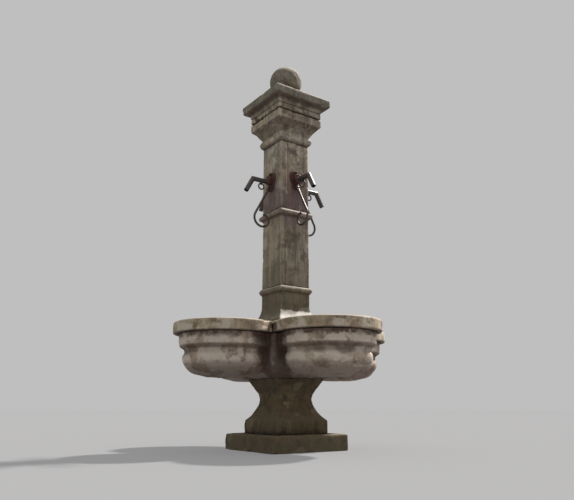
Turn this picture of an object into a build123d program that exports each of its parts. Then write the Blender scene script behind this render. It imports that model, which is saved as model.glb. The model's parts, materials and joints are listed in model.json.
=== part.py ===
from build123d import *

import os
from math import acos, atan2, cos, degrees, hypot, radians, sin

# Stone drinking fountain: a square shaft in a four-lobed basin, with a lever tap on each face.
# Millimetres, +Z up, origin at the centre of the plinth's underside. The front is -Y.
# Everything that repeats on the four sides is drawn once, on the +X side, where X is the
# distance out from the fountain's axis, and then turned about Z to the other sides.

SIDES = {"right": 0, "rear": 90, "left": 180, "front": 270}

# Heights of the beds between the stones
PLINTH_TOP = 100
BASIN_BOTTOM = 436
BASIN_FLOOR = 506
COPING_BOTTOM = 692
COPING_TOP = 760
BASE_TOP = 1030
LOWER_TOP = 1556
UPPER_TOP = 2048
CAPITAL_TOP = 2254
CORNICE_TOP = 2402

# Half widths of the stones that are square in plan
PLINTH_HALF = 280
PEDESTAL_HALF = 192
WAIST_HALF = 122
PEDESTAL_TOP_HALF = 180
CORE_HALF = 300
BASE_HALF = 148
SHAFT_HALF = 115
CAPITAL_HALF = 182
SLAB_HALF = 230

# The basin's four lobes
LOBE_OUT = 448
LOBE_R = 286
GROOVE_R = 252
BELLY_R = 263
COPING_R = 324
POOL_R = 220
POOL_HALF = 235
NECK_HALF = 160
COPING_GAP = 2

# Bores that carry the pipes and the waste water
WASTE_R = 60
SHAFT_BORE_R = 45
DOWEL_R = 8
DOWEL_HALF = 45
DOWEL_CLEARANCE = 0.5

# Ball finial
BALL_R = 117
BALL_Z = 2570
BALL_PIN_R = 10
NECK_R = 56
NECK_BOTTOM = 2440

# Supply pipe and manifold, one inch pipe
PIPE_R = 16.85
PIPE_BORE_R = 13.6
STEM_Z = 1730
INLET_R = 15.15
INLET_DEPTH = 26
SOCKET_R = 24
SOCKET_HEIGHT = 56
MANIFOLD_R = 25
MANIFOLD_HEIGHT = 56
ARM_R = 16
ARM_BORE_R = 10
PIPE_TOP = STEM_Z - 14

# Tap, with X measured from the fountain's axis
SPOUT_Z = 1764
SPOUT_R = 16
SPOUT_BORE_R = 12.5
ELBOW_X = 270
TIP_X = 323
TIP_Z = 1668
PLATE_FACE = SHAFT_HALF + 10
BOSS_FACE = SHAFT_HALF + 42
COLLAR_FACE = BOSS_FACE + 6
BODY_INNER = 58
BODY_OUTER = 113
BODY_STEM_R = 18
BODY_SPOUT_R = 22
SPRING_ROOM_R = 12
SEAT_X = 82
SEAT_R = 7
WASHER_R = 10
WASHER_THICKNESS = 5
CHAMBER_X = SEAT_X + 4
SPOUT_START = 100
NUT_Z = 1823
STUD_R = 5
EYE_X = 203
EYE_WIRE_R = 3
RING_WIRE_R = 5
RING_R = 20.5
RING_TOP_Z = 1742

# Lever: a bar that hangs from its pivot and ends in a crook
PIVOT_X = 144
PIVOT_Z = 1712
PIN_R = 4
RUNNING_CLEARANCE = 0.05
NOSE_R = 6
BAR_R = 7.5
CROOK_X = 194
CROOK_Z = 1497
CROOK_R = 60
CURL_START = -125
CURL_R = 40
CURL_END = -265


def save(shape, name):
    """Label a finished piece and write it as its own STEP file."""
    shape.label = name
    export_step(shape, f"parts/{name}.step")


def square_stone(side, half_width):
    """A solid that is square in plan, all four faces following one outline of (half width, height)."""
    with BuildPart() as stone:
        for plane, mode in ((Plane.XZ, Mode.ADD), (Plane.YZ, Mode.INTERSECT)):
            with BuildSketch(plane):
                with BuildLine():
                    add(side.line)
                    mirror(about=Plane.YZ)
                make_face()
            extrude(amount=half_width, both=True, mode=mode)
    return stone.part


def bore(radius, bottom, top, x=0, y=0):
    """Cut an upright round hole through the part being built."""
    with Locations((x, y, bottom)):
        Cylinder(radius, top - bottom, align=(Align.CENTER, Align.CENTER, Align.MIN), mode=Mode.SUBTRACT)


def dowel_holes(bed_z, spread):
    """Cut the pair of dowel holes that cross one bed."""
    for corner in (-spread, spread):
        bore(DOWEL_R + DOWEL_CLEARANCE, bed_z - DOWEL_HALF, bed_z + DOWEL_HALF, corner, corner)


def rod_along_x(radius, start, end, height, mode=Mode.ADD):
    """A round bar or hole along X at the given height."""
    with BuildSketch(Plane.YZ.offset(start)) as section:
        with Locations((0, height)):
            Circle(radius)
    extrude(section.sketch, amount=end - start, mode=mode)


# ---------------------------------------------------------------- plinth and pedestal
PEDESTAL_SPREAD = 110

with BuildPart() as plinth:
    Box(2 * PLINTH_HALF, 2 * PLINTH_HALF, PLINTH_TOP, align=(Align.CENTER, Align.CENTER, Align.MIN))
    chamfer(plinth.faces().sort_by(Axis.Z)[-1].edges(), length=5)
    bore(WASTE_R, 0, PLINTH_TOP)
    dowel_holes(PLINTH_TOP, PEDESTAL_SPREAD)

with BuildLine() as pedestal_side:
    Polyline((0, PLINTH_TOP), (PEDESTAL_HALF, PLINTH_TOP), (PEDESTAL_HALF, 180))
    ThreePointArc((PEDESTAL_HALF, 180), (146, 234), (WAIST_HALF, 302))
    ThreePointArc((WAIST_HALF, 302), (124, 326), (131, 348))
    Polyline((131, 348), (PEDESTAL_TOP_HALF, BASIN_BOTTOM), (0, BASIN_BOTTOM))

with BuildPart() as pedestal:
    add(square_stone(pedestal_side, PEDESTAL_HALF))
    bore(WASTE_R, PLINTH_TOP, BASIN_BOTTOM)
    dowel_holes(PLINTH_TOP, PEDESTAL_SPREAD)
    dowel_holes(BASIN_BOTTOM, PEDESTAL_SPREAD)


# ---------------------------------------------------------------- basin
CORE_CHAMFER = 14
COPING_CHAMFER = 23
COPING_HALF = 320

with BuildLine() as core_side:
    Polyline((0, BASIN_BOTTOM), (185, BASIN_BOTTOM), (236, 456))
    ThreePointArc((236, 456), (282, 488), (CORE_HALF, 544))
    Polyline((CORE_HALF, 544), (CORE_HALF, COPING_BOTTOM), (0, COPING_BOTTOM))

with BuildSketch() as pool_outline:
    Rectangle(2 * POOL_HALF, 2 * POOL_HALF)
    Rectangle(2 * LOBE_OUT, 2 * NECK_HALF)
    Rectangle(2 * NECK_HALF, 2 * LOBE_OUT)
    with PolarLocations(LOBE_OUT, 4):
        Circle(POOL_R)
    fillet(pool_outline.vertices(), radius=24)

# One lobe's moulded outside, from the rounded belly up past the groove to the coping
with BuildPart() as lobe:
    with BuildSketch(Plane.XZ):
        with BuildLine():
            Polyline((0, BASIN_BOTTOM), (108, BASIN_BOTTOM), (166, 451))
            ThreePointArc((166, 451), (216, 470), (243, 499))
            ThreePointArc((243, 499), (259, 527), (BELLY_R, 557))
            ThreePointArc((BELLY_R, 557), (259, 566), (GROOVE_R, 573))
            Line((GROOVE_R, 573), (GROOVE_R, 584))
            Bezier((GROOVE_R, 584), (GROOVE_R + 1, 612), (LOBE_R, 606), (LOBE_R, 628))
            Line((LOBE_R, 628), (LOBE_R, 680))
            ThreePointArc((LOBE_R, 680), (292.4, 687.4), (302, COPING_BOTTOM))
            Polyline((302, COPING_BOTTOM), (0, COPING_BOTTOM), (0, BASIN_BOTTOM))
        make_face()
    revolve(axis=Axis.Z)

with BuildPart() as basin:
    add(square_stone(core_side, CORE_HALF))
    with BuildSketch(Plane.XY.offset(BASIN_BOTTOM)) as core_plan:
        Rectangle(2 * CORE_HALF, 2 * CORE_HALF)
        chamfer(core_plan.vertices(), length=CORE_CHAMFER)
    extrude(amount=COPING_BOTTOM - BASIN_BOTTOM, mode=Mode.INTERSECT)

    with PolarLocations(LOBE_OUT, 4):
        add(lobe.part)

    with BuildSketch(Plane.XY.offset(BASIN_FLOOR)):
        add(pool_outline.sketch)
    extrude(amount=COPING_BOTTOM - BASIN_FLOOR, mode=Mode.SUBTRACT)
    pool_floor = basin.faces().filter_by_position(Axis.Z, BASIN_FLOOR - 1, BASIN_FLOOR + 1)[0]
    fillet(pool_floor.outer_wire().edges(), radius=20)
    bore(WASTE_R, BASIN_BOTTOM, BASIN_FLOOR)
    dowel_holes(BASIN_BOTTOM, PEDESTAL_SPREAD)
    dowel_holes(BASIN_FLOOR, PEDESTAL_SPREAD)


# ---------------------------------------------------------------- rim: four coping stones and their cramps
CRAMP_LENGTH = 96
CRAMP_WIDTH = 20
CRAMP_DEPTH = 7
CRAMP_RADIUS = 386

with BuildPart() as coping:
    with BuildSketch(Plane.XY.offset(COPING_BOTTOM)) as coping_plan:
        Rectangle(2 * COPING_HALF, 2 * COPING_HALF)
        chamfer(coping_plan.vertices(), length=COPING_CHAMFER)
        with PolarLocations(LOBE_OUT, 4):
            Circle(COPING_R)
        add(pool_outline.sketch, mode=Mode.SUBTRACT)
        with BuildLine():
            Polyline((COPING_GAP, 0), (1000, 1000 - COPING_GAP), (1000, COPING_GAP - 1000), close=True)
        make_face(mode=Mode.INTERSECT)
    extrude(amount=COPING_TOP - COPING_BOTTOM)
    rim_arc = coping.edges().filter_by(GeomType.CIRCLE).filter_by(lambda e: abs(e.radius - COPING_R) < 1)
    fillet(rim_arc.group_by(Axis.Z)[-1], radius=10)
    fillet(rim_arc.group_by(Axis.Z)[0], radius=6)
    pool_arc = coping.edges().filter_by(GeomType.CIRCLE).filter_by(lambda e: abs(e.radius - POOL_R) < 1)
    fillet(pool_arc.group_by(Axis.Z)[-1], radius=8)
    with BuildSketch(Plane.XY.offset(COPING_TOP)):
        with PolarLocations(CRAMP_RADIUS, 4, start_angle=45):
            Rectangle(CRAMP_WIDTH, CRAMP_LENGTH)
    extrude(amount=-CRAMP_DEPTH, mode=Mode.SUBTRACT)

with BuildPart() as rim_cramps:
    with BuildSketch(Plane.XY.offset(COPING_TOP - CRAMP_DEPTH)):
        with PolarLocations(CRAMP_RADIUS, 4, start_angle=45):
            Rectangle(CRAMP_WIDTH, CRAMP_LENGTH)
    extrude(amount=CRAMP_DEPTH - 1)


# ---------------------------------------------------------------- shaft
SHAFT_SPREAD = 80
LOW_BAND = (984, BASE_TOP)
LOW_BAND_HALF = 129
MID_BAND = (1504, LOWER_TOP)
MID_BAND_HALF = 136
OVERFLOW_Z = 712
DRAIN_Z = 548
DRAIN_R = 17
SLOT_WIDTH = 60
SLOT_HEIGHT = 26
GRILLE_THICKNESS = 4
SCREW_X = 84
SCREW_Z = 34
SCREW_R = 2.4
SCREW_LENGTH = 24

with BuildLine() as base_side:
    Polyline((0, BASIN_FLOOR), (BASE_HALF, BASIN_FLOOR), (BASE_HALF, 806))
    ThreePointArc((BASE_HALF, 806), (126, 852), (SHAFT_HALF, 902))
    Line((SHAFT_HALF, 902), (SHAFT_HALF, LOW_BAND[0]))
    ThreePointArc((SHAFT_HALF, LOW_BAND[0]), (LOW_BAND_HALF, 1006), (SHAFT_HALF + 1, BASE_TOP))
    Line((SHAFT_HALF + 1, BASE_TOP), (0, BASE_TOP))

with BuildPart() as shaft_base:
    add(square_stone(base_side, BASE_HALF))
    bore(WASTE_R, BASIN_FLOOR, BASE_TOP - 80)
    bore(SHAFT_BORE_R, BASE_TOP - 80, BASE_TOP)
    dowel_holes(BASIN_FLOOR, PEDESTAL_SPREAD)
    dowel_holes(BASE_TOP, SHAFT_SPREAD)
    with BuildSketch(Plane.XZ):
        with Locations((0, OVERFLOW_Z)):
            Rectangle(SLOT_WIDTH, SLOT_HEIGHT)
        with Locations((0, DRAIN_Z)):
            Circle(DRAIN_R)
    extrude(amount=-BASE_HALF, mode=Mode.SUBTRACT)
    with BuildSketch(Plane.XZ.offset(-BASE_HALF)):
        with Locations((0, OVERFLOW_Z)):
            with GridLocations(SCREW_X, SCREW_Z, 2, 2):
                Circle(SCREW_R + 0.1)
    extrude(amount=SCREW_LENGTH, mode=Mode.SUBTRACT)

with BuildLine() as lower_side:
    Polyline((0, BASE_TOP), (SHAFT_HALF, BASE_TOP), (SHAFT_HALF, MID_BAND[0]), (MID_BAND_HALF - 2, 1517))
    ThreePointArc((MID_BAND_HALF - 2, 1517), (MID_BAND_HALF, 1529), (MID_BAND_HALF - 2, 1541))
    Polyline((MID_BAND_HALF - 2, 1541), (SHAFT_HALF + 1, LOWER_TOP), (0, LOWER_TOP))

with BuildPart() as shaft_lower:
    add(square_stone(lower_side, MID_BAND_HALF))
    bore(SHAFT_BORE_R, BASE_TOP, LOWER_TOP)
    dowel_holes(BASE_TOP, SHAFT_SPREAD)
    dowel_holes(LOWER_TOP, SHAFT_SPREAD)


def valve_outline(margin):
    """The valve body's outline as seen from outside, grown by a margin."""
    with Locations((0, STEM_Z)):
        Circle(BODY_STEM_R + margin)
    with Locations((0, SPOUT_Z)):
        Circle(BODY_SPOUT_R + margin)
    make_hull()


with BuildPart() as shaft_upper:
    with Locations((0, 0, LOWER_TOP)):
        shaft_side = 2 * SHAFT_HALF
        Box(shaft_side, shaft_side, UPPER_TOP - LOWER_TOP, align=(Align.CENTER, Align.CENTER, Align.MIN))
    bore(SHAFT_BORE_R, LOWER_TOP, UPPER_TOP)
    for pocket_plane in (Plane.YZ, Plane.XZ):
        with BuildSketch(pocket_plane):
            valve_outline(margin=2)
        extrude(amount=SHAFT_HALF, both=True, mode=Mode.SUBTRACT)
    dowel_holes(LOWER_TOP, SHAFT_SPREAD)
    dowel_holes(UPPER_TOP, SHAFT_SPREAD)
    with PolarLocations(SHAFT_HALF, 4):
        with Locations((0, 0, NUT_Z)):
            Cylinder(STUD_R + 1, 80, rotation=(0, 90, 0), mode=Mode.SUBTRACT)

with BuildLine() as capital_side:
    Line((0, UPPER_TOP), (SHAFT_HALF + 1, UPPER_TOP))
    ThreePointArc((SHAFT_HALF + 1, UPPER_TOP), (134, 2078), (121, 2112))
    Line((121, 2112), (124, 2119))
    ThreePointArc((124, 2119), (149, 2155), (179, 2189))
    Polyline((179, 2189), (CAPITAL_HALF, 2195), (CAPITAL_HALF, CAPITAL_TOP - 8), (164, CAPITAL_TOP - 8))
    Polyline((164, CAPITAL_TOP - 8), (164, CAPITAL_TOP), (0, CAPITAL_TOP))

with BuildPart() as capital:
    add(square_stone(capital_side, CAPITAL_HALF))
    bore(SHAFT_BORE_R, UPPER_TOP, UPPER_TOP + 90)
    dowel_holes(UPPER_TOP, SHAFT_SPREAD)
    dowel_holes(CAPITAL_TOP, SHAFT_SPREAD)

with BuildLine() as cornice_side:
    Polyline((0, CAPITAL_TOP), (CAPITAL_HALF - 4, CAPITAL_TOP), (CAPITAL_HALF, CAPITAL_TOP + 5))
    Polyline((CAPITAL_HALF, CAPITAL_TOP + 5), (CAPITAL_HALF, 2288), (174, 2289), (174, 2297), (184, 2298))
    Line((184, 2298), (184, 2312))
    ThreePointArc((184, 2312), (189, 2326), (206, 2333))
    Polyline((206, 2333), (222, 2336), (SLAB_HALF, 2344), (SLAB_HALF, 2392), (SLAB_HALF - 10, CORNICE_TOP))
    Polyline((SLAB_HALF - 10, CORNICE_TOP), (66, NECK_BOTTOM), (0, NECK_BOTTOM))

with BuildPart() as cornice:
    add(square_stone(cornice_side, SLAB_HALF))
    dowel_holes(CAPITAL_TOP, SHAFT_SPREAD)
    bore(BALL_PIN_R + DOWEL_CLEARANCE, NECK_BOTTOM - 100, NECK_BOTTOM)

with BuildPart() as ball_finial:
    with Locations((0, 0, BALL_Z)):
        Sphere(BALL_R)
    with Locations((0, 0, NECK_BOTTOM)):
        Cylinder(NECK_R, 30, align=(Align.CENTER, Align.CENTER, Align.MIN))
    bore(BALL_PIN_R + DOWEL_CLEARANCE, NECK_BOTTOM, BALL_Z - 30)

with BuildPart() as stone_dowels:
    for bed_z, spread in (
        (PLINTH_TOP, PEDESTAL_SPREAD),
        (BASE_TOP, SHAFT_SPREAD),
        (LOWER_TOP, SHAFT_SPREAD),
        (UPPER_TOP, SHAFT_SPREAD),
        (CAPITAL_TOP, SHAFT_SPREAD),
    ):
        with Locations((spread, spread, bed_z), (-spread, -spread, bed_z)):
            Cylinder(DOWEL_R, 2 * DOWEL_HALF - 4)
    BASIN_MIDDLE = (BASIN_BOTTOM + BASIN_FLOOR) / 2
    BASIN_DOWEL = BASIN_FLOOR - BASIN_BOTTOM + 2 * DOWEL_HALF - 4
    with Locations(
        (PEDESTAL_SPREAD, PEDESTAL_SPREAD, BASIN_MIDDLE),
        (-PEDESTAL_SPREAD, -PEDESTAL_SPREAD, BASIN_MIDDLE),
    ):
        Cylinder(DOWEL_R, BASIN_DOWEL)

with BuildPart() as finial_pin:
    with Locations((0, 0, NECK_BOTTOM - 98)):
        Cylinder(BALL_PIN_R, BALL_Z + 66 - NECK_BOTTOM, align=(Align.CENTER, Align.CENTER, Align.MIN))


# ---------------------------------------------------------------- water supply
with BuildPart() as riser_pipe:
    with BuildSketch(Plane.XY.offset(INLET_DEPTH)):
        Circle(PIPE_R)
        Circle(PIPE_BORE_R, mode=Mode.SUBTRACT)
    extrude(amount=PIPE_TOP - INLET_DEPTH)

with BuildPart() as supply_socket:
    with BuildSketch():
        Circle(SOCKET_R)
    extrude(amount=SOCKET_HEIGHT)
    bore(INLET_R, 0, INLET_DEPTH)
    bore(PIPE_R, INLET_DEPTH, SOCKET_HEIGHT)

with BuildPart() as manifold:
    with Locations((0, 0, STEM_Z)):
        Cylinder(MANIFOLD_R, MANIFOLD_HEIGHT)
    for arm_plane in (Plane.YZ, Plane.XZ):
        with BuildSketch(arm_plane):
            with Locations((0, STEM_Z)):
                Circle(ARM_R)
        extrude(amount=BODY_INNER, both=True)
    for arm_plane in (Plane.YZ, Plane.XZ):
        with BuildSketch(arm_plane):
            with Locations((0, STEM_Z)):
                Circle(ARM_BORE_R)
        extrude(amount=BODY_INNER, both=True, mode=Mode.SUBTRACT)
    bore(PIPE_R, STEM_Z - MANIFOLD_HEIGHT / 2, PIPE_TOP)
    bore(PIPE_BORE_R, PIPE_TOP, STEM_Z + ARM_R)


# ---------------------------------------------------------------- one tap, on the +X side
with BuildPart() as valve_body:
    with BuildSketch(Plane.YZ.offset(BODY_INNER)):
        valve_outline(margin=0)
    extrude(amount=BODY_OUTER - BODY_INNER)
    rod_along_x(SPRING_ROOM_R, BODY_INNER, SEAT_X, STEM_Z, mode=Mode.SUBTRACT)
    rod_along_x(SEAT_R, SEAT_X, CHAMBER_X, STEM_Z, mode=Mode.SUBTRACT)
    rod_along_x(10, CHAMBER_X, SPOUT_START, STEM_Z, mode=Mode.SUBTRACT)
    rod_along_x(PIN_R + RUNNING_CLEARANCE, SPOUT_START, BODY_OUTER, STEM_Z, mode=Mode.SUBTRACT)
    rod_along_x(SPOUT_R, SPOUT_START, BODY_OUTER, SPOUT_Z, mode=Mode.SUBTRACT)
    rod_along_x(SPOUT_BORE_R, CHAMBER_X, SPOUT_START, SPOUT_Z, mode=Mode.SUBTRACT)
    bore(6, STEM_Z, SPOUT_Z, x=(CHAMBER_X + SPOUT_START) / 2)

WASHER_FACE = SEAT_X - 0.2

with BuildPart() as valve_stem:
    rod_along_x(PIN_R, WASHER_FACE - WASHER_THICKNESS, PIVOT_X - NOSE_R - 0.3, STEM_Z)
    rod_along_x(WASHER_R, WASHER_FACE - WASHER_THICKNESS, WASHER_FACE, STEM_Z)

SPRING_START = BODY_INNER + 0.4
SPRING_LENGTH = WASHER_FACE - WASHER_THICKNESS - SPRING_START - 0.3
SPRING_WIRE_R = 0.9
SPRING_COIL_R = 8.5

with BuildPart() as valve_spring:
    with BuildLine() as spring_path:
        Helix(
            pitch=4,
            height=SPRING_LENGTH - 2 * SPRING_WIRE_R,
            radius=SPRING_COIL_R,
            center=(SPRING_START + SPRING_WIRE_R, 0, STEM_Z),
            direction=(1, 0, 0),
        )
    with BuildSketch(Plane(origin=spring_path.line @ 0, z_dir=spring_path.line % 0)):
        Circle(SPRING_WIRE_R)
    sweep(path=spring_path.line, is_frenet=True)

CHEEK_INNER = BAR_R + 0.3
CHEEK_OUTER = CHEEK_INNER + 5.8
CHEEK_R = 11

with BuildSketch(Plane.XZ) as cheek_outline:
    with Locations((PIVOT_X, PIVOT_Z)):
        Circle(CHEEK_R)
    with Locations((PLATE_FACE + 1, PIVOT_Z)):
        Rectangle(2, 2 * CHEEK_R)
    make_hull()

# A pear-shaped plate with a domed boss round the spout
with BuildPart() as escutcheon:
    with BuildSketch(Plane.YZ.offset(SHAFT_HALF)):
        with Locations((0, 1790)):
            Circle(48)
        with Locations((0, 1723)):
            Circle(24)
        make_hull()
    extrude(amount=PLATE_FACE - SHAFT_HALF)
    fillet(escutcheon.faces().sort_by(Axis.X)[-1].edges(), radius=4)
    with BuildSketch(Plane.YZ.offset(PLATE_FACE - 1)):
        with Locations((0, 1780)):
            Circle(30)
        with Locations((0, SPOUT_Z)):
            Circle(22)
        make_hull()
    extrude(amount=BOSS_FACE - PLATE_FACE + 1)
    fillet(escutcheon.faces().sort_by(Axis.X)[-1].edges(), radius=9)
    for cheek_side in (1, -1):
        with BuildSketch(Plane.XZ.offset(cheek_side * CHEEK_INNER)):
            add(cheek_outline.sketch_local)
        extrude(amount=cheek_side * (CHEEK_OUTER - CHEEK_INNER))
    with Locations((PIVOT_X, 0, PIVOT_Z)):
        Cylinder(PIN_R, 2 * CHEEK_OUTER, rotation=(90, 0, 0), mode=Mode.SUBTRACT)
    rod_along_x(SPOUT_R, SHAFT_HALF, BOSS_FACE, SPOUT_Z, mode=Mode.SUBTRACT)
    rod_along_x(PIN_R + 1, SHAFT_HALF, PLATE_FACE, STEM_Z, mode=Mode.SUBTRACT)
    rod_along_x(STUD_R + 0.5, SHAFT_HALF, PLATE_FACE, NUT_Z, mode=Mode.SUBTRACT)

# The spout is a mitred bend of two straight runs, with a collar and a welded eye for the ring
EYE_Z = RING_TOP_Z - RING_WIRE_R - EYE_WIRE_R - 0.3
EYE_HALF = RING_WIRE_R + EYE_WIRE_R + 0.5

with BuildPart() as spout:
    with BuildLine(Plane.XZ) as spout_path:
        Polyline((SPOUT_START, SPOUT_Z), (ELBOW_X, SPOUT_Z), (TIP_X, TIP_Z))
    with BuildSketch(Plane.YZ.offset(SPOUT_START)):
        with Locations((0, SPOUT_Z)):
            Circle(SPOUT_R)
    sweep(path=spout_path.line, transition=Transition.RIGHT)
    rod_along_x(20, BOSS_FACE, COLLAR_FACE, SPOUT_Z)
    with BuildLine(Plane.YZ.offset(EYE_X)) as eye_path:
        Line((-EYE_HALF, SPOUT_Z - 12), (-EYE_HALF, EYE_Z + EYE_HALF))
        ThreePointArc((-EYE_HALF, EYE_Z + EYE_HALF), (0, EYE_Z), (EYE_HALF, EYE_Z + EYE_HALF))
        Line((EYE_HALF, EYE_Z + EYE_HALF), (EYE_HALF, SPOUT_Z - 12))
    with BuildSketch(Plane(origin=eye_path.line @ 0, z_dir=eye_path.line % 0)):
        Circle(EYE_WIRE_R)
    sweep(path=eye_path.line)
    with BuildSketch(Plane.YZ.offset(SPOUT_START)):
        with Locations((0, SPOUT_Z)):
            Circle(SPOUT_BORE_R)
    sweep(path=spout_path.line, transition=Transition.RIGHT, mode=Mode.SUBTRACT)

with BuildPart() as cup_ring:
    with Locations((EYE_X, 0, RING_TOP_Z - RING_R)):
        Torus(RING_R, RING_WIRE_R, rotation=(90, 0, 0))

with BuildPart() as plate_nut:
    rod_along_x(STUD_R, 85, PLATE_FACE, NUT_Z)
    rod_along_x(10, PLATE_FACE, PLATE_FACE + 2, NUT_Z)
    with BuildSketch(Plane.YZ.offset(PLATE_FACE + 2)):
        with Locations((0, NUT_Z)):
            RegularPolygon(9.5, 6)
    extrude(amount=6)
    rod_along_x(7.5, PLATE_FACE + 8, PLATE_FACE + 14, NUT_Z)
    fillet(plate_nut.edges().sort_by(Axis.X)[-1], radius=5)

# The bar leaves the pivot on the line that runs tangent into the crook
PIVOT_TO_CROOK = hypot(CROOK_X - PIVOT_X, CROOK_Z - PIVOT_Z)
CROOK_BEARING = degrees(atan2(CROOK_Z - PIVOT_Z, CROOK_X - PIVOT_X))
TANGENT_ANGLE = CROOK_BEARING + 180 - degrees(acos(CROOK_R / PIVOT_TO_CROOK))


def on_arc(centre, radius, angle):
    """A point of an arc in the lever's plane, at an angle in degrees about its centre."""
    return (centre[0] + radius * cos(radians(angle)), centre[1] + radius * sin(radians(angle)))


# The crook tightens into a smaller curl that carries on smoothly from it
CROOK = (CROOK_X, CROOK_Z)
CURL = on_arc(CROOK, CROOK_R - CURL_R, CURL_START)


with BuildPart() as lever:
    with BuildLine(Plane.XZ) as lever_path:
        Line((PIVOT_X, PIVOT_Z), on_arc(CROOK, CROOK_R, TANGENT_ANGLE))
        ThreePointArc(
            on_arc(CROOK, CROOK_R, TANGENT_ANGLE),
            on_arc(CROOK, CROOK_R, (TANGENT_ANGLE + CURL_START) / 2),
            on_arc(CROOK, CROOK_R, CURL_START),
        )
        ThreePointArc(
            on_arc(CURL, CURL_R, CURL_START),
            on_arc(CURL, CURL_R, (CURL_START + CURL_END) / 2),
            on_arc(CURL, CURL_R, CURL_END),
        )
    with BuildSketch(Plane(origin=lever_path.line @ 0, z_dir=lever_path.line % 0)):
        Circle(BAR_R)
    sweep(path=lever_path.line)
    with Locations(Vector(*on_arc(CURL, CURL_R, CURL_END)).rotate(Axis.X, 90)):
        Sphere(BAR_R + 1.5)
    with BuildSketch(Plane.XZ.offset(-NOSE_R)) as head_outline:
        with Locations((PIVOT_X, PIVOT_Z)):
            Circle(12)
        with Locations((PIVOT_X, (PIVOT_Z + STEM_Z) / 2)):
            Rectangle(10, STEM_Z - PIVOT_Z)
        with Locations((PIVOT_X, STEM_Z)):
            Circle(NOSE_R)
    extrude(amount=2 * NOSE_R)
    with Locations((PIVOT_X, 0, PIVOT_Z)):
        Cylinder(PIN_R + RUNNING_CLEARANCE, 4 * NOSE_R, rotation=(90, 0, 0), mode=Mode.SUBTRACT)

with BuildPart() as lever_pin:
    with Locations((PIVOT_X, 0, PIVOT_Z)):
        Cylinder(PIN_R, 2 * CHEEK_OUTER, rotation=(90, 0, 0))
    for head_y in (-CHEEK_OUTER - 1.5, CHEEK_OUTER + 1.5):
        with Locations((PIVOT_X, head_y, PIVOT_Z)):
            Cylinder(6.5, 3, rotation=(90, 0, 0))


# ---------------------------------------------------------------- overflow and drain, on the base's rear face
with BuildPart() as overflow_grille:
    with BuildSketch(Plane.XZ.offset(-BASE_HALF)) as grille_plate:
        with Locations((0, OVERFLOW_Z)):
            RectangleRounded(100, 50, radius=6)
            with GridLocations(10, 1, 6, 1):
                SlotOverall(22, 5, rotation=90, mode=Mode.SUBTRACT)
            with GridLocations(SCREW_X, SCREW_Z, 2, 2):
                Circle(SCREW_R + 0.1, mode=Mode.SUBTRACT)
    extrude(amount=-GRILLE_THICKNESS)

with BuildPart() as grille_screws:
    with BuildSketch(Plane.XZ.offset(-BASE_HALF - GRILLE_THICKNESS)):
        with Locations((0, OVERFLOW_Z)):
            with GridLocations(SCREW_X, SCREW_Z, 2, 2):
                Circle(SCREW_R)
    extrude(amount=SCREW_LENGTH)
    with BuildSketch(Plane.XZ.offset(-BASE_HALF - GRILLE_THICKNESS)):
        with Locations((0, OVERFLOW_Z)):
            with GridLocations(SCREW_X, SCREW_Z, 2, 2):
                Circle(4.6)
    extrude(amount=-3)

with BuildPart() as drain_plug:
    with Locations((0, BASE_HALF - 30, DRAIN_Z)):
        Cylinder(DRAIN_R - 0.3, 60, rotation=(90, 0, 0))
    with Locations((0, BASE_HALF + 4, DRAIN_Z)):
        Cylinder(26, 8, rotation=(90, 0, 0))
    with Locations((0, BASE_HALF + 15, DRAIN_Z)):
        Box(18, 14, 18)


# ---------------------------------------------------------------- write every piece
os.makedirs("parts", exist_ok=True)

SINGLE_PIECES = {
    "plinth": plinth,
    "pedestal": pedestal,
    "basin": basin,
    "rim_cramps": rim_cramps,
    "shaft_base": shaft_base,
    "shaft_lower": shaft_lower,
    "shaft_upper": shaft_upper,
    "capital": capital,
    "cornice": cornice,
    "ball_finial": ball_finial,
    "stone_dowels": stone_dowels,
    "finial_pin": finial_pin,
    "riser_pipe": riser_pipe,
    "supply_socket": supply_socket,
    "manifold": manifold,
    "overflow_grille": overflow_grille,
    "grille_screws": grille_screws,
    "drain_plug": drain_plug,
}
for name, piece in SINGLE_PIECES.items():
    save(piece.part, name)

SIDE_PIECES = {
    "coping": coping,
    "valve_body": valve_body,
    "valve_stem": valve_stem,
    "valve_spring": valve_spring,
    "escutcheon": escutcheon,
    "spout": spout,
    "cup_ring": cup_ring,
    "lever": lever,
}
for side, turn in SIDES.items():
    for name, piece in SIDE_PIECES.items():
        save(piece.part.rotate(Axis.Z, turn), f"{name}_{side}")

# Like fasteners on the four sides share a node
for name, piece in {"plate_nuts": plate_nut, "lever_pins": lever_pin}.items():
    save(Compound(children=[piece.part.rotate(Axis.Z, turn) for turn in SIDES.values()]), name)
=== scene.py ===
"""Looks of a stone drinking fountain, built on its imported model. Metres, +Z up, the front is -Y."""

import json
import math
import random
from typing import NamedTuple

import bpy
import numpy as np
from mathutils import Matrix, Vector, noise
from mathutils.bvhtree import BVHTree
from mathutils.kdtree import KDTree


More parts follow.
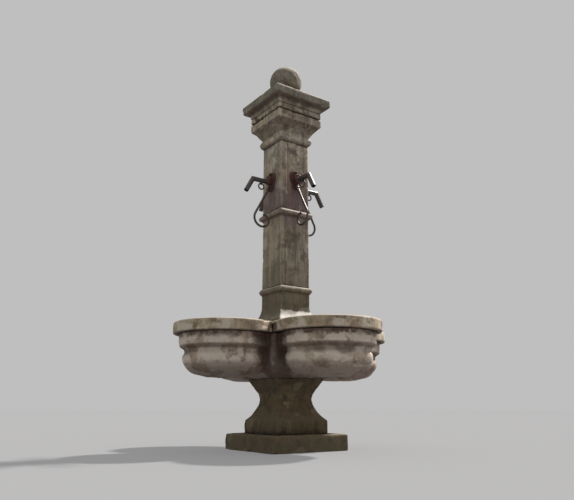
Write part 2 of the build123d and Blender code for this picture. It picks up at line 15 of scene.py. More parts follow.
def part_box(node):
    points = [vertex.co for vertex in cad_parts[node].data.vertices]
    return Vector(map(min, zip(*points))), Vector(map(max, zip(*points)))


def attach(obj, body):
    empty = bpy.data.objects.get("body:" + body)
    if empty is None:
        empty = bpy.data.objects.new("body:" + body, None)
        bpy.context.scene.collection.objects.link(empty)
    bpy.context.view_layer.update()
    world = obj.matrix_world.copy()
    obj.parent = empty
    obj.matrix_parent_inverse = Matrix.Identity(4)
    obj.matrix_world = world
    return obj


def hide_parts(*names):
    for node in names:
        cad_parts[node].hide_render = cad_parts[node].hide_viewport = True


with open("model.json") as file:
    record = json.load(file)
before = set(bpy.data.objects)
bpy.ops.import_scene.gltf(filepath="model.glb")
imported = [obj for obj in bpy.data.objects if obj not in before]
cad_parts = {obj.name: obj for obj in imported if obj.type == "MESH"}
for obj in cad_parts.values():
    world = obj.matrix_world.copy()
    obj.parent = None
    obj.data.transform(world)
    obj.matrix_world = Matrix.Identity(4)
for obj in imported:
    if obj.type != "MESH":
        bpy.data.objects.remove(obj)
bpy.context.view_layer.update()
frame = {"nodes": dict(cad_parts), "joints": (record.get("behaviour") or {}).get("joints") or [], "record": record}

SIDES = ("right", "rear", "left", "front")
ROOT = "fountain"

# Heights that the stains, the painted shade in the basin and the painted highlight on the shaft follow, from the
# frame
PLATE_LOW, PLATE_HIGH = (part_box("escutcheon_right")[i].z for i in (0, 1))
BAND_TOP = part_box("shaft_lower")[1].z
BASE_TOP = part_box("shaft_base")[1].z
RIM_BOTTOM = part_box("coping_right")[0].z
CAP_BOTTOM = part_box("cornice")[0].z
RIM_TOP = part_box("coping_right")[1].z
GROOVE_Z = RIM_BOTTOM - 0.105  # middle of the groove round each lobe
HIGHLIGHT_TOP = RIM_TOP + 0.105  # where the painted highlight on the shaft's front foot ends


# ---------------------------------------------------------------- shader helpers
class Shader:
    """A node material with one Principled shader, and short calls that add nodes to it."""

    def __init__(self, name, **settings):
        self.material = bpy.data.materials.new(name)
        self.material.use_nodes = True
        self.tree = self.material.node_tree
        self.principled = self.tree.nodes["Principled BSDF"]
        for socket, value in settings.items():
            self.principled.inputs[socket.replace("_", " ")].default_value = value
        self.coords = self.add("TexCoord").outputs["Object"]
        parts = self.add("SeparateXYZ", {"Vector": self.coords})
        self.x, self.y, self.z = (parts.outputs[axis] for axis in "XYZ")

    def add(self, kind, inputs=None, **settings):
        made = self.tree.nodes.new("ShaderNode" + kind)
        for key, value in settings.items():
            setattr(made, key, value)
        for key, value in (inputs or {}).items():
            self.feed(made.inputs[key], value)
        return made

    def feed(self, socket, value):
        if isinstance(value, bpy.types.NodeSocket):
            self.tree.links.new(value, socket)
        else:
            socket.default_value = value

    def plug(self, socket, value):
        """Drive one of the Principled shader's sockets."""
        self.tree.links.new(value, self.principled.inputs[socket])

    def maths(self, operation, a, b=0.0):
        return self.add("Math", {0: a, 1: b}, operation=operation).outputs[0]

    def times(self, a, b):
        return self.maths("MULTIPLY", a, b)

    def moved(self, value, wander, amount):
        """The value moved by the amount times the wander."""
        return self.maths("ADD", value, self.times(wander, amount))

    def step(self, value, low, high, out_low=0.0, out_high=1.0):
        """Smooth step of value from low to high."""
        inputs = {"Value": value, "From Min": low, "From Max": high, "To Min": out_low, "To Max": out_high}
        return self.add("MapRange", inputs, interpolation_type="SMOOTHSTEP").outputs["Result"]

    def noise(self, scale, detail=4.0, rough=0.55, stretch=None, shift=0.0):
        """Fractal noise, 0 to 1, about 0.5 in the middle."""
        vector = self.coords
        if stretch or shift:
            mapping = {"Vector": vector, "Scale": stretch or (1, 1, 1), "Location": (shift, shift, shift)}
            vector = self.add("Mapping", mapping).outputs["Vector"]
        inputs = {"Vector": vector, "Scale": scale, "Detail": detail, "Roughness": rough}
        return self.add("TexNoise", inputs).outputs["Fac"]

    def wander(self, scale, detail, rough, stretch=None, shift=0.0):
        """Fractal noise about zero."""
        return self.maths("SUBTRACT", self.noise(scale, detail, rough, stretch, shift), 0.5)

    def cells(self, scale):
        """Distance to the nearest of many scattered points."""
        return self.add("TexVoronoi", {"Vector": self.coords, "Scale": scale}).outputs["Distance"]

    def facing(self, axis):
        """How far the surface faces along an axis, -1 to 1."""
        normal = self.add("TexCoord").outputs["Normal"]
        return self.add("SeparateXYZ", {"Vector": normal}).outputs[axis]

    def attribute(self, name):
        return self.add("Attribute", attribute_name=name).outputs["Fac"]

    def mix(self, factor, a, b):
        """Blend two colours."""
        made = self.add("Mix", data_type="RGBA")
        colours = [socket for socket in made.inputs if socket.type == "RGBA"]
        self.feed(made.inputs[0], factor)
        for socket, value in zip(colours, (a, b)):
            self.feed(socket, value if isinstance(value, bpy.types.NodeSocket) else (*value, 1.0))
        return next(socket for socket in made.outputs if socket.type == "RGBA")

    def bump(self, height, distance, strength):
        inputs = {"Height": height, "Distance": distance, "Strength": strength}
        self.plug("Normal", self.add("Bump", inputs).outputs["Normal"])


def scaled(colour, *factors):
    """A colour times one factor, or times one for each channel."""
    if len(factors) == 1:
        factors = factors * len(colour)
    return [channel * factor for channel, factor in zip(colour, factors)]


# ---------------------------------------------------------------- stone
class Tones(NamedTuple):
    """A stone's colours."""

    pale: tuple
    middle: tuple
    dark: tuple
    lichen: tuple


def blotched(m, colour, tones, mottle):
    """Warm and dark clouds, with small dark blotches over them."""
    warm = m.step(m.noise(3.4, 5, 0.6, shift=41.0), 0.44, 0.60, 0.0, 0.6)
    colour = m.mix(warm, colour, scaled(tones.middle, 1.10, 0.90, 0.76))
    shadowed = m.step(m.noise(13.0, 5, 0.6, shift=52.0), 0.48, 0.64, 0.0, 0.75)
    colour = m.mix(shadowed, colour, tones.dark)
    fine_blotch = m.noise(34.0, 6, 0.68, shift=3.1)
    return m.mix(m.step(fine_blotch, 0.46, 0.70, 0.0, mottle), colour, tones.dark)


def streaked(m, colour, tones, streaks):
    """Dark and pale runs down the faces."""
    run = m.noise(11.0, 6, 0.60, stretch=(1.6, 1.6, 0.12))
    thin_run = m.noise(46.0, 4, 0.55, stretch=(1.5, 1.5, 0.08), shift=7.7)
    run = m.times(m.step(run, 0.46, 0.66), m.step(thin_run, 0.34, 0.62, 0.35, 1.0))
    colour = m.mix(m.times(run, streaks), colour, tones.dark)
    pale_run = m.noise(30.0, 4, 0.5, stretch=(1.5, 1.5, 0.05), shift=12.3)
    pale_run = m.times(m.step(pale_run, 0.54, 0.64), m.step(m.noise(5.0, 3, shift=27.0), 0.44, 0.58))
    return m.mix(m.times(pale_run, 0.85 * streaks), colour, scaled(tones.pale, 1.35))


def tinted(m, colour, tones):
    """A green tint on the left faces, partly algae on the shaded side and partly a painted tint of the light
    falling on that side, and fresher stone where flakes have come off.
    """
    # Painted tint of the light on the left faces, mixed with algae green
    green = m.step(m.facing("X"), -0.15, -0.9, 0.0, 0.34)
    green = m.times(green, m.step(m.noise(7.0, 4, shift=61.0), 0.38, 0.60, 0.3, 1.0))
    colour = m.mix(green, colour, scaled(tones.middle, 0.93, 1.14, 0.96))
    flaked = m.times(m.attribute("flaked"), 0.60)
    return m.mix(flaked, colour, scaled(tones.pale, 1.00, 0.93, 0.82))


def lichen_patches(m, cover, mottle):
    """Where lichen lies: broken patches on the open faces."""
    open_face = m.step(m.attribute("shelter"), 0.42, 0.12)
    patch = m.step(m.noise(8.5, 6, 0.60, shift=21.0), 0.60 - cover, 0.68 - cover)
    broken = m.step(m.noise(62.0, 5, 0.7, shift=4.4), 0.34, 0.54, 1.0 - mottle, 1.0)
    return m.times(m.times(patch, broken), open_face)


def speckled(m, colour, lichen, grime_and_shade):
    """Small spots of lichen, and soot specks."""
    spots = m.times(m.step(m.cells(120.0), 0.26, 0.12), m.step(m.noise(14.0, 3, shift=9.0), 0.50, 0.62))
    colour = m.mix(m.times(spots, 0.55), colour, lichen)
    soot = m.times(m.step(m.cells(75.0), 0.20, 0.08), m.step(m.noise(9.0, 3, shift=15.0), 0.50, 0.66))
    return m.mix(m.times(soot, 0.6), colour, grime_and_shade)


def weathered_with_painted_light(m, colour, tones, grime_and_shade, polish):
    """Pale tops, partly rain-washed stone and partly painted highlight; painted shade in sheltered places, under
    overhangs and in creases; and rubbed edges, made paler also as a painted edge highlight.
    """
    # Painted highlight on the upward faces, mixed with rain-washed stone
    washed_and_lit_tops = m.step(m.facing("Z"), 0.30, 0.80)
    washed_and_lit_tops = m.times(washed_and_lit_tops, m.step(m.noise(26.0, 5, 0.6, shift=71.0), 0.30, 0.55, 0.45, 0.9))
    colour = m.mix(washed_and_lit_tops, colour, scaled(tones.pale, 0.90, 0.93, 1.00))
    # Painted shade in the grime's colour: where the stone is enclosed, on faces turned down, and in creases
    sheltered_shade = m.moved(m.attribute("shelter"), m.noise(16.0, 6, 0.65, shift=33.0), 0.30)
    colour = m.mix(m.step(sheltered_shade, 0.34, 0.64, 0.0, 0.90), colour, grime_and_shade)
    colour = m.mix(m.step(m.facing("Z"), -0.20, -0.75, 0.0, 0.68), colour, grime_and_shade)
    colour = m.mix(m.times(m.attribute("hollow"), 0.85), colour, grime_and_shade)
    # Paler edges: rubbed wear, and a painted edge highlight
    rubbed_and_lit = m.step(m.noise(28.0, 5, 0.65, shift=18.0), 0.38, 0.60, 0.1, polish)
    worn_and_lit_edge_tone = [min(1.0, channel) for channel in scaled(tones.pale, 1.25)]
    return m.mix(m.times(m.attribute("edge"), rubbed_and_lit), colour, worn_and_lit_edge_tone)


def stone(name, tones, lichen_cover, streaks, mottle=0.7, polish=0.9, stains_and_painted_light=()):
    """Weathered limestone.

    lichen_cover is how much of the surface the lichen takes, streaks how strong the runs are, mottle
    how strong the small blotches are, polish how pale the worn edges get, which also paints a highlight
    on them. Each function in stains_and_painted_light gets the shader and its colour and gives back the
    new colour, with a stain, painted shade or a painted highlight.
    """
    m = Shader(name, IOR=1.45)
    # The dark of soot specks, and of the painted shade in sheltered places, under overhangs and in creases
    grime_and_shade = scaled(tones.dark, 0.60, 0.48, 0.40)
    cloud = m.noise(6.0, 5, 0.55)
    colour = m.mix(m.step(cloud, 0.40, 0.60), tones.middle, tones.pale)
    colour = blotched(m, colour, tones, mottle)
    colour = streaked(m, colour, tones, streaks)
    colour = tinted(m, colour, tones)
    lichen = lichen_patches(m, lichen_cover, mottle)
    colour = m.mix(m.times(lichen, 0.85), colour, tones.lichen)
    colour = speckled(m, colour, tones.lichen, grime_and_shade)
    for colour_mark in stains_and_painted_light:
        colour = colour_mark(m, colour)
    colour = weathered_with_painted_light(m, colour, tones, grime_and_shade, polish)
    grain = m.step(m.noise(420.0, 3, 0.6, shift=1.0), 0.30, 0.70, 0.0, 0.35)
    m.plug("Base Color", m.mix(grain, colour, scaled(tones.dark, 0.55)))
    m.plug("Roughness", m.step(cloud, 0.3, 0.7, 0.76, 0.92))
    height = m.moved(m.noise(150.0, 6, 0.7), m.step(m.cells(210.0), 0.0, 0.35), 0.35)
    m.bump(m.moved(height, lichen, 0.35), distance=0.0026, strength=0.7)
    return m.material


# Colours of the stains, of the basin's painted shadow and shade, and of the painted highlight on the shaft's foot;
# a pair is mixed in blotches
ALGAE_TONES = ((0.104, 0.076, 0.044), (0.078, 0.076, 0.044))
CRUST_TONES = ((0.060, 0.058, 0.042), (0.150, 0.145, 0.112))
# Colours of the basin's painted shadow and shade, and of its dirt
SHADE_AND_DIRT_TONES = ((0.050, 0.034, 0.026), (0.095, 0.068, 0.052))
HIGHLIGHT_WHITE = (0.86, 0.81, 0.75)
IRON_STAIN = (0.145, 0.090, 0.098)


def damp(dry, wet):
    """Algae-dark stone up from the ground or the pool: all of it at the wet height, none at the dry one."""
    def colour_mark(m, colour):
        height = m.moved(m.z, m.wander(7.0, 6, 0.62, stretch=(1, 1, 0.4), shift=2.0), -0.25)
        tone = m.step(m.noise(22.0, 5, 0.6, shift=30.0), 0.40, 0.62)
        return m.mix(m.step(height, dry, wet, 0.0, 0.80), colour, m.mix(tone, *ALGAE_TONES))
    return colour_mark


def front_foot_highlight(m, colour):
    """A white band of painted highlight just over the rim's height, on the shaft's front, where the sun catches
    the foot of the shaft.
    """
    height = m.moved(m.z, m.wander(30.0, 5, 0.65, stretch=(1, 1, 0.5), shift=91.0), 0.03)
    front = m.step(m.facing("Y"), -0.35, -0.75)
    # Painted highlight: a white band on the front faces only
    highlight_band = m.times(m.step(height, HIGHLIGHT_TOP + 0.007, HIGHLIGHT_TOP - 0.007), front)
    highlight_band = m.times(highlight_band, m.step(height, RIM_TOP, RIM_TOP + 0.04))
    highlight_band = m.times(highlight_band, m.step(m.noise(55.0, 5, 0.7, shift=92.0), 0.30, 0.48, 0.55, 0.95))
    return m.mix(highlight_band, colour, HIGHLIGHT_WHITE)


def lichen_top(m, colour):
    """Grey-green crust on the cap stone and the ball."""
    height = m.moved(m.z, m.wander(12.0, 5, 0.65, shift=81.0), 0.12)
    tone = m.step(m.noise(48.0, 6, 0.7, shift=82.0), 0.40, 0.60)
    crust = m.step(height, CAP_BOTTOM + 0.02, CAP_BOTTOM + 0.10, 0.0, 0.68)
    return m.mix(crust, colour, m.mix(tone, *CRUST_TONES))


def basin_shade_and_dirt(m, colour):
    """Painted shadow under the rim, a darker brown band in the groove round each lobe, and brown dirt and painted
    shade down the corners between the lobes.
    """
    wander = m.wander(9.0, 5, 0.6, stretch=(1, 1, 1.6), shift=50.0)
    height = m.moved(m.z, wander, 0.10)
    groove = m.step(height, GROOVE_Z - 0.045, GROOVE_Z - 0.012)
    groove = m.times(groove, m.step(height, GROOVE_Z + 0.034, GROOVE_Z + 0.010))
    groove = m.times(groove, m.step(m.noise(3.2, 3, 0.5, shift=57.0), 0.44, 0.58, 0.05, 1.0))
    # Painted shadow: a dark line just under the rim
    rim_shadow = m.step(height, RIM_BOTTOM - 0.034, RIM_BOTTOM - 0.004, 0.0, 0.65)
    # Brown dirt and painted shade in the corners between the lobes
    off_diagonal = m.maths("SUBTRACT", m.maths("ABSOLUTE", m.x), m.maths("ABSOLUTE", m.y))
    off_diagonal = m.moved(m.maths("ABSOLUTE", off_diagonal), wander, 0.16)
    corner = m.step(off_diagonal, 0.150, 0.085)
    shade_and_dirt = m.maths("MAXIMUM", m.maths("MAXIMUM", m.times(groove, 0.85), rim_shadow), corner)
    tone = m.step(m.noise(24.0, 5, 0.6, stretch=(1, 1, 0.3), shift=51.0), 0.35, 0.65)
    return m.mix(m.times(shade_and_dirt, 0.93), colour, m.mix(tone, *SHADE_AND_DIRT_TONES))


def rust_stain(m, colour):
    """Purple-brown iron stain from the taps down to the band, strongest in runs under each plate."""
    across = m.maths("MINIMUM", m.maths("ABSOLUTE", m.x), m.maths("ABSOLUTE", m.y))
    across = m.moved(across, m.noise(16.0, 6, 0.65, stretch=(1, 1, 0.22), shift=5.0), -0.07)
    narrow = m.step(across, 0.060, -0.010)
    near_plate = m.times(narrow, m.step(m.z, PLATE_HIGH + 0.03, PLATE_HIGH - 0.05))
    height = m.moved(m.z, m.wander(9.0, 6, 0.65, stretch=(1, 1, 0.4), shift=6.0), 0.30)
    wash = m.step(height, PLATE_LOW + 0.10, BAND_TOP + 0.03, 0.0, 0.85)
    colour_mark = m.maths("MAXIMUM", near_plate, wash)
    colour_mark = m.times(colour_mark, m.step(height, BAND_TOP - 0.14, BAND_TOP + 0.02))
    broken = m.step(m.noise(30.0, 5, 0.6, stretch=(1.4, 1.4, 0.2), shift=8.0), 0.28, 0.58, 0.50, 0.95)
    return m.mix(m.times(colour_mark, broken), colour, IRON_STAIN)


# ---------------------------------------------------------------- metals
def iron(name, base, warm, rust, rust_cover, polish, bare=0.55):
    """Old iron: blackened, with rust in patches and rubbed edges.

    rust_cover is how much of it is rusted, polish how bright the edges are, bare how metallic it is
    off the rust.
    """
    m = Shader(name, IOR=1.45 + bare)
    tone = m.noise(45.0, 5, 0.6)
    colour = m.mix(m.step(tone, 0.35, 0.65), base, warm)
    patch = m.step(m.noise(70.0, 7, 0.7, shift=6.0), 0.66 - rust_cover, 0.76 - rust_cover)
    colour = m.mix(m.times(patch, 0.9), colour, rust)
    scab = m.times(m.step(m.cells(420.0), 0.30, 0.10), patch)
    colour = m.mix(m.times(scab, 0.7), colour, scaled(rust, 1.7))
    colour = m.mix(m.times(m.attribute("hollow"), 0.7), colour, scaled(base, 0.35))
    colour = m.mix(m.times(m.attribute("edge"), polish), colour, scaled(warm, 2.2))
    m.plug("Base Color", colour)
    m.plug("Metallic", m.step(patch, 0.0, 1.0, bare, 0.05))
    rough = m.step(patch, 0.0, 1.0, 0.42, 0.82)
    m.plug("Roughness", m.maths("ADD", rough, m.step(tone, 0.3, 0.7, -0.06, 0.08)))
    m.bump(m.moved(m.noise(300.0, 5, 0.65), patch, 0.5), distance=0.0007, strength=0.6)
    return m.material


def metal(name, base, tarnish, cover, rough):
    """Plain metal with a fine grain and a tarnish that lies in patches; cover is how much of it is dull."""
    m = Shader(name)
    dull = m.step(m.noise(90.0, 6, 0.65), 0.62 - cover, 0.78 - cover)
    colour = m.mix(m.step(m.noise(240.0, 3, 0.5), 0.3, 0.7, 0.0, 0.3), base, scaled(base, 0.7))
    m.plug("Base Color", m.mix(m.times(dull, 0.85), colour, tarnish))
    m.plug("Metallic", m.step(dull, 0.0, 1.0, 1.0, 0.35))
    m.plug("Roughness", m.step(dull, 0.0, 1.0, rough, min(0.9, rough + 0.35)))
    m.bump(m.maths("ADD", m.noise(700.0, 3), dull), distance=0.0002, strength=0.5)
    return m.material


# ---------------------------------------------------------------- the finishes
SHAFT_TONES = Tones(
    pale=(0.49, 0.420, 0.325),
    middle=(0.312, 0.262, 0.198),
    dark=(0.090, 0.067, 0.050),
    lichen=(0.50, 0.460, 0.395),
)
BASIN_TONES = Tones(
    pale=(0.55, 0.458, 0.373),
    middle=(0.385, 0.300, 0.236),
    dark=(0.130, 0.085, 0.064),
    lichen=(0.69, 0.60, 0.51),
)
RIM_TONES = Tones(
    pale=(0.52, 0.425, 0.315),
    middle=(0.34, 0.265, 0.185),
    dark=(0.085, 0.058, 0.040),
    lichen=(0.59, 0.52, 0.42),
)
FOOT_TONES = Tones(
    pale=(0.205, 0.152, 0.080),
    middle=(0.130, 0.092, 0.046),
    dark=(0.052, 0.036, 0.020),
    lichen=(0.29, 0.235, 0.145),
)
# The shaft's stains, and the painted highlight on its front foot
SHAFT_STAINS_AND_HIGHLIGHT = (rust_stain, damp(dry=BASE_TOP + 0.60, wet=BASE_TOP - 0.20), front_foot_highlight, lichen_top)
FOOT_STAINS = (damp(dry=0.33, wet=-0.12),)

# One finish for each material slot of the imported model
FINISHES = {
    "shaft_stone": stone(
        "shaft_stone", SHAFT_TONES, lichen_cover=0.04, streaks=0.85, polish=0.4, stains_and_painted_light=SHAFT_STAINS_AND_HIGHLIGHT
    ),
    "basin_stone": stone(
        "basin_stone", BASIN_TONES, lichen_cover=0.18, streaks=0.25, mottle=0.35, polish=0.5,
        stains_and_painted_light=(basin_shade_and_dirt,),
    ),
    "rim_stone": stone("rim_stone", RIM_TONES, lichen_cover=0.10, streaks=0.35, mottle=0.5),
    "foot_stone": stone(
        "foot_stone", FOOT_TONES, lichen_cover=0.02, streaks=0.45, polish=0.6, stains_and_painted_light=FOOT_STAINS
    ),
    "dark_iron": iron(
        "dark_iron", (0.026, 0.022, 0.021), (0.050, 0.036, 0.031), (0.11, 0.045, 0.026),
        rust_cover=0.08, polish=0.35,
    ),
    "rusty_iron": iron(
        "rusty_iron", (0.022, 0.009, 0.007), (0.046, 0.014, 0.010), (0.080, 0.022, 0.012),
        rust_cover=0.24, polish=0.15, bare=0.15,
    ),
    "brass": metal("brass", (0.56, 0.40, 0.17), (0.16, 0.13, 0.075), cover=0.16, rough=0.34),
    "galvanised_steel": metal(
        "galvanised_steel", (0.56, 0.58, 0.59), (0.30, 0.29, 0.27), cover=0.10, rough=0.38
    ),
    "spring_steel": metal("spring_steel", (0.62, 0.62, 0.64), (0.25, 0.20, 0.16), cover=0.02, rough=0.26),
}


# ---------------------------------------------------------------- weathering of the meshes
CHIP_SPACING = 0.035  # chips are at least this far apart
CHIP_REACH = 1.15  # how far a chip spreads, over the radius that its ball cuts in a flat face
CHIP_DEPTH_LIMIT = 1.2  # how deep a chip may go, over its bite
BREAK_ROUGHNESS = 0.0012  # of the broken surface in a chip
ROUGH_BITE = 0.004  # the bite from which a chip's surface is fully rough
FLAKE_DEPTH = 0.0024
WAVE = 0.0012  # how uneven the stones' faces are


class Surface:
    """A remeshed copy of a CAD node, held as arrays while it is worn."""

    def __init__(self, node, voxel):
        source = frame["nodes"][node]
        self.piece = bpy.data.objects.new(node + "_worn", source.data.copy())
        bpy.context.scene.collection.objects.link(self.piece)
        remesh = self.piece.modifiers.new("remesh", "REMESH")
        remesh.mode = "VOXEL"
        remesh.voxel_size = voxel
        bpy.context.view_layer.update()
        evaluated = self.piece.evaluated_get(bpy.context.evaluated_depsgraph_get())
        self.mesh = bpy.data.meshes.new_from_object(evaluated)
        self.piece.modifiers.clear()
        self.piece.data = self.mesh
        self.voxel = voxel
        self.co = np.empty(len(self.mesh.vertices) * 3)
        self.mesh.vertices.foreach_get("co", self.co)
        self.co = self.co.reshape(-1, 3)
        edges = np.empty(len(self.mesh.edges) * 2, int)
        self.mesh.edges.foreach_get("vertices", edges)
        self.edges = edges.reshape(-1, 2)
        self.degree = np.maximum(np.bincount(edges, minlength=len(self.co)), 1)

    def around(self, values):
        """Each vertex's mean over its neighbours."""
        if values.ndim > 1:
            return np.column_stack([self.around(column) for column in values.T])
        a, b = self.edges.T
        count = len(self.co)
        total = np.bincount(a, values[b], count) + np.bincount(b, values[a], count)
        return total / self.degree

    def normals(self):
        """Each vertex's normal in the shape as it is now."""
        self.mesh.vertices.foreach_set("co", self.co.ravel())
        self.mesh.update()
        found = np.empty(len(self.co) * 3)
        self.mesh.vertices.foreach_get("normal", found)
        return found.reshape(-1, 3)

    def bend(self, spread):
        """How far each vertex stands out (+) of its surroundings or lies in them (-), in voxels."""
        smooth = self.co.copy()
        for _ in range(spread):
            smooth = self.around(smooth)
        return ((self.co - smooth) * self.normals()).sum(1) / self.voxel

    def noise(self, scale, octaves=4, shift=0.0):
        """Fractal noise at each vertex, about -1 to 1."""
        offset = Vector((shift, shift, shift))
        return np.array([noise.fractal(Vector(p) * scale + offset, 1.0, 2.0, octaves) for p in self.co])

    def soften(self, passes, weight):
        """Draw each vertex towards its neighbours, by its own weight."""
        for _ in range(passes):
            self.co += (self.around(self.co) - self.co) * weight[:, None]

    def chip(self, count, depth, rng):
        """Scoop shallow flakes out of the outer edges, each the shape of a large ball pressed in.

        The sharpest corners are left out, and only vertices within the flake's own reach move.
        """
        standing = self.bend(4)
        normals = self.normals()
        low, high = np.quantile(standing, (0.94, 0.997))
        sharp = np.flatnonzero((standing > low) & (standing < high))
        rough = self.noise(90.0, 3, 5.0) * BREAK_ROUGHNESS
        used = []
        for _ in range(count):
            at = rng.choice(sharp)
            bite = depth * rng.uniform(0.2, 1.0) ** 2
            ball = bite * rng.uniform(5.0, 14.0)
            if any(np.linalg.norm(self.co[at] - other) < CHIP_SPACING for other in used):
                continue
            used.append(self.co[at].copy())
            centre = self.co[at] + normals[at] * (ball - bite)
            away = self.co - centre
            distance = np.linalg.norm(away, axis=1)
            reach = CHIP_REACH * math.sqrt(2.0 * ball * bite)
            near = np.linalg.norm(self.co - self.co[at], axis=1) < reach
            inside = near & (distance < ball) & (distance > ball - CHIP_DEPTH_LIMIT * bite)
            target = ball + rough[inside] * min(1.0, bite / ROUGH_BITE)
            self.co[inside] = centre + away[inside] / distance[inside][:, None] * target[:, None]

    def swell(self, heights):
        """Move each vertex out along its normal by its own height."""
        self.co += self.normals() * heights[:, None]

    def shelter(self, tree, samples):
        """How enclosed each vertex is, 0 in the open and 1 deep in a corner, from rays at some of them."""
        normals = self.normals()
        picked = np.linspace(0, len(self.co) - 1, min(samples, len(self.co))).astype(int)
        index = KDTree(len(picked))
        found = np.empty(len(picked))
        for i, at in enumerate(picked):
            facing = RAYS * np.sign(RAYS @ normals[at])[:, None]
            weights = facing @ normals[at]
            start = Vector(self.co[at] + normals[at] * RAY_START)
            hits = [tree.ray_cast(start, Vector(ray), RAY_REACH)[3] for ray in facing]
            closeness = np.array([0.0 if hit is None else 1.0 - hit / RAY_REACH for hit in hits])
            found[i] = (weights * closeness).sum() / weights.sum()
            index.insert(start, i)
        index.balance()
        near = [index.find_n(Vector(p), 4) for p in self.co]
        return np.array([sum(found[i] for _, i, _ in group) / len(group) for group in near])

    def finish(self, node, slot, body, edge_gain, extra=None):
        """Store the fields that the material reads, and let the piece take the CAD node's place."""
        standing = self.bend(6)
        for _ in range(2):
            standing = self.around(standing)
        fields = {"edge": standing * edge_gain, "hollow": -standing * edge_gain}
        for name, values in (fields | (extra or {})).items():
            field = self.mesh.attributes.new(name, "FLOAT", "POINT")
            field.data.foreach_set("value", np.clip(values, 0, 1).astype(np.float32))
        self.mesh.vertices.foreach_set("co", self.co.ravel())
        self.mesh.update()
        self.mesh.polygons.foreach_set("use_smooth", np.ones(len(self.mesh.polygons), bool))
        self.mesh.materials.clear()
        self.mesh.materials.append(FINISHES[slot])
        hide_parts(node)
        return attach(self.piece, body)


def sphere_points(count):
    """Directions spread evenly over a sphere."""
    turn = math.pi * (3.0 - math.sqrt(5.0))
    heights = (np.arange(count) + 0.5) / count * 2.0 - 1.0
    across = np.sqrt(1.0 - heights**2)
    turns = turn * np.arange(count)
    return np.column_stack([across * np.cos(turns), across * np.sin(turns), heights])


RAYS = sphere_points(22)
RAY_START = 0.005  # off the surface, so that a ray doesn't hit its own stone
RAY_REACH = 0.30


def stone_tree(nodes):
    """One ray-casting tree of the named CAD nodes."""
    vertices, faces = [], []
    for node in nodes:
        mesh = frame["nodes"][node].data
        first = len(vertices)
        vertices.extend(vertex.co.copy() for vertex in mesh.vertices)
        faces.extend([first + i for i in polygon.vertices] for polygon in mesh.polygons)
    return BVHTree.FromPolygons(vertices, faces)


def worn_stone(node, slot, voxel, chips, depth, tree):
    """Replace a stone by a worn one: softened and chipped edges, uneven faces, flaked patches."""
    rng = random.Random(node)
    surface = Surface(node, voxel)
    uneven = surface.noise(9.0, 3)
    surface.soften(4, np.clip(0.30 + 0.5 * uneven, 0.05, 0.6))
    surface.chip(chips, depth, rng)
    surface.soften(1, np.full(len(surface.co), 0.25))
    heights = surface.noise(5.0, 3, 2.0) * WAVE + surface.noise(38.0, 4, 9.0) * 0.4 * WAVE
    flaked = np.clip((surface.noise(13.0, 4, 7.0) - 0.16) * 9.0, 0, 1)
    flaked *= np.clip(surface.noise(3.1, 2, 11.0) * 5.0, 0, 1)
    surface.swell(heights + surface.noise(160.0, 2, 4.0) * 0.18 * WAVE - flaked * FLAKE_DEPTH)
    surface.co[:, 2] = np.maximum(surface.co[:, 2], 0.0)  # nothing sinks into the floor
    fields = {"shelter": surface.shelter(tree, SHELTER_SAMPLES), "flaked": flaked}
    surface.finish(node, slot, ROOT, edge_gain=0.9, extra=fields)


def worn_iron(node, slot, voxel, body, hammer, still=None):
    """Replace an iron piece by one with a hand-forged, corroded surface.

    hammer is how uneven it is. still is a point, with the distance from it at which the surface
    starts to be uneven and the one at which it is fully so.
    """
    surface = Surface(node, voxel)
    heights = (surface.noise(60.0, 2, 1.0) + 0.5 * surface.noise(260.0, 3, 3.0)) * hammer
    if still:
        centre, near, far = still
        distance = np.linalg.norm(surface.co - np.array(centre), axis=1)
        heights *= np.clip((distance - near) / (far - near), 0, 1)
    surface.swell(heights)
    surface.finish(node, slot, body, edge_gain=1.4)


COARSE = 1.0
SHELTER_SAMPLES = 3000

STONES = (
    # node, slot, voxel, chips, deepest chip
    ("plinth", "foot_stone", 0.0048, 50, 0.010),
    ("pedestal", "foot_stone", 0.0044, 40, 0.007),
    ("basin", "basin_stone", 0.0066, 90, 0.008),
    ("shaft_base", "shaft_stone", 0.0044, 26, 0.005),
    ("shaft_lower", "shaft_stone", 0.0036, 36, 0.005),
    ("shaft_upper", "shaft_stone", 0.0036, 36, 0.005),
    ("capital", "shaft_stone", 0.0036, 40, 0.006),
    ("cornice", "shaft_stone", 0.0038, 50, 0.007),
    ("ball_finial", "shaft_stone", 0.0032, 4, 0.003),
    *((f"coping_{side}", "rim_stone", 0.0042, 26, 0.006) for side in SIDES),
)
all_stones = stone_tree([stone_row[0] for stone_row in STONES])
for node, slot, voxel, chips, depth in STONES:
    worn_stone(node, slot, voxel * COARSE, chips, depth, all_stones)

pivots = {joint["child"]: joint["pos_m"] for joint in frame["joints"] if "pos_m" in joint}
for side in SIDES:
    lever, ring = f"lever_{side}", f"cup_ring_{side}"
    # The lever's surface stays true round its pivot, where it runs between the plate's cheeks
    worn_iron(lever, "dark_iron", 0.0014 * COARSE, lever, hammer=0.0003, still=(pivots[lever], 0.016, 0.04))
    worn_iron(ring, "dark_iron", 0.0009 * COARSE, ring, hammer=0.0001)
    worn_iron(f"spout_{side}", "dark_iron", 0.0016 * COARSE, ROOT, hammer=0.00025)
    worn_iron(f"escutcheon_{side}", "rusty_iron", 0.0014 * COARSE, ROOT, hammer=0.00035)
worn_iron("plate_nuts", "rusty_iron", 0.0012 * COARSE, ROOT, hammer=0.0002)

# The pieces that stay as CAD nodes take the finish of their slot
for row in frame["record"]["subparts"]:
    cad_object = frame["nodes"][row["node"]]
    if not cad_object.hide_render:
        for material_slot in cad_object.material_slots:
            material_slot.material = FINISHES[row["material_slot"]]


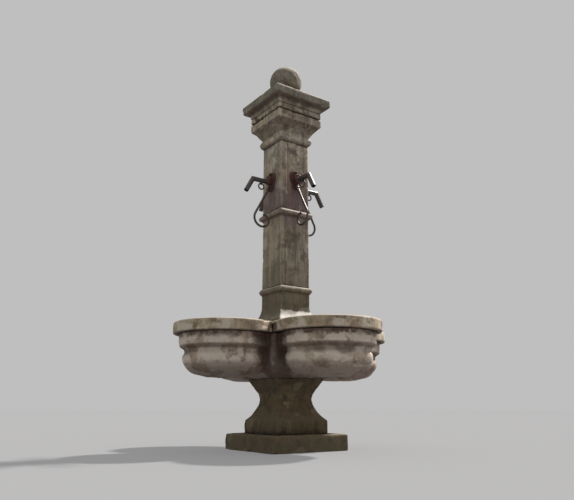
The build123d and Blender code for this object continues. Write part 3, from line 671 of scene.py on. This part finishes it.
# ---------------------------------------------------------------- floor, light and camera
FLOOR_HALF = 40.0
FLOOR_COLOUR = (0.126, 0.126, 0.128, 1.0)
FLOOR_GLOW = (0.204, 0.204, 0.206, 1.0)
SKY_LOW, SKY_HIGH = 0.52, 1.05  # brightness at the horizon and overhead

SUN_ENERGY = 7.2
SUN_COLOUR = (1.0, 0.97, 0.93)
SUN_WIDTH = math.radians(4)
SUN_BEARING = math.radians(1)
SUN_HEIGHT = math.radians(50)

# The camera was fitted to the object's outline
CAMERA_AT = (-2.283, -3.285, 0.267)
CAMERA_LENS = 37.857
CAMERA_RISE = math.radians(14.509)
CAMERA_BEARING = math.radians(-34.939)

floor_mesh = bpy.data.meshes.new("floor")
corners = [(FLOOR_HALF * x, FLOOR_HALF * y, 0) for x, y in ((-1, -1), (1, -1), (1, 1), (-1, 1))]
floor_mesh.from_pydata(corners, [], [(0, 1, 2, 3)])
floor = bpy.data.objects.new("floor", floor_mesh)
bpy.context.scene.collection.objects.link(floor)
floor_finish = Shader("floor_finish", Roughness=0.95, Base_Color=FLOOR_COLOUR, Specular_IOR_Level=0.0,
                      Emission_Color=FLOOR_GLOW, Emission_Strength=1.0)
floor_mesh.materials.append(floor_finish.material)

world = bpy.data.worlds.new("studio")
world.use_nodes = True
links, nodes = world.node_tree.links, world.node_tree.nodes
height = nodes.new("ShaderNodeSeparateXYZ")
links.new(nodes.new("ShaderNodeTexCoord").outputs["Generated"], height.inputs["Vector"])
overhead = nodes.new("ShaderNodeMapRange")
overhead.interpolation_type = "SMOOTHSTEP"
for socket, value in {"From Min": 0.62, "From Max": 0.95, "To Min": SKY_LOW, "To Max": SKY_HIGH}.items():
    overhead.inputs[socket].default_value = value
links.new(height.outputs["Z"], overhead.inputs["Value"])
links.new(overhead.outputs["Result"], nodes["Background"].inputs["Color"])
bpy.context.scene.world = world

sun_light = bpy.data.lights.new("sun", "SUN")
sun_light.energy = SUN_ENERGY
sun_light.angle = SUN_WIDTH
sun_light.color = SUN_COLOUR
sun = bpy.data.objects.new("sun", sun_light)
level = math.cos(SUN_HEIGHT)
to_sun = Vector((math.cos(SUN_BEARING) * level, math.sin(SUN_BEARING) * level, math.sin(SUN_HEIGHT)))
sun.rotation_euler = to_sun.to_track_quat("Z", "Y").to_euler()
bpy.context.scene.collection.objects.link(sun)

camera_data = bpy.data.cameras.new("camera")
camera_data.sensor_width = 36.0
camera_data.lens = CAMERA_LENS
camera_data.clip_end = 200.0
camera = bpy.data.objects.new("camera", camera_data)
camera.location = CAMERA_AT
camera.rotation_euler = (math.radians(90) + CAMERA_RISE, 0.0, CAMERA_BEARING)
bpy.context.scene.collection.objects.link(camera)
bpy.context.scene.camera = camera
bpy.context.scene.view_settings.view_transform = "Standard"
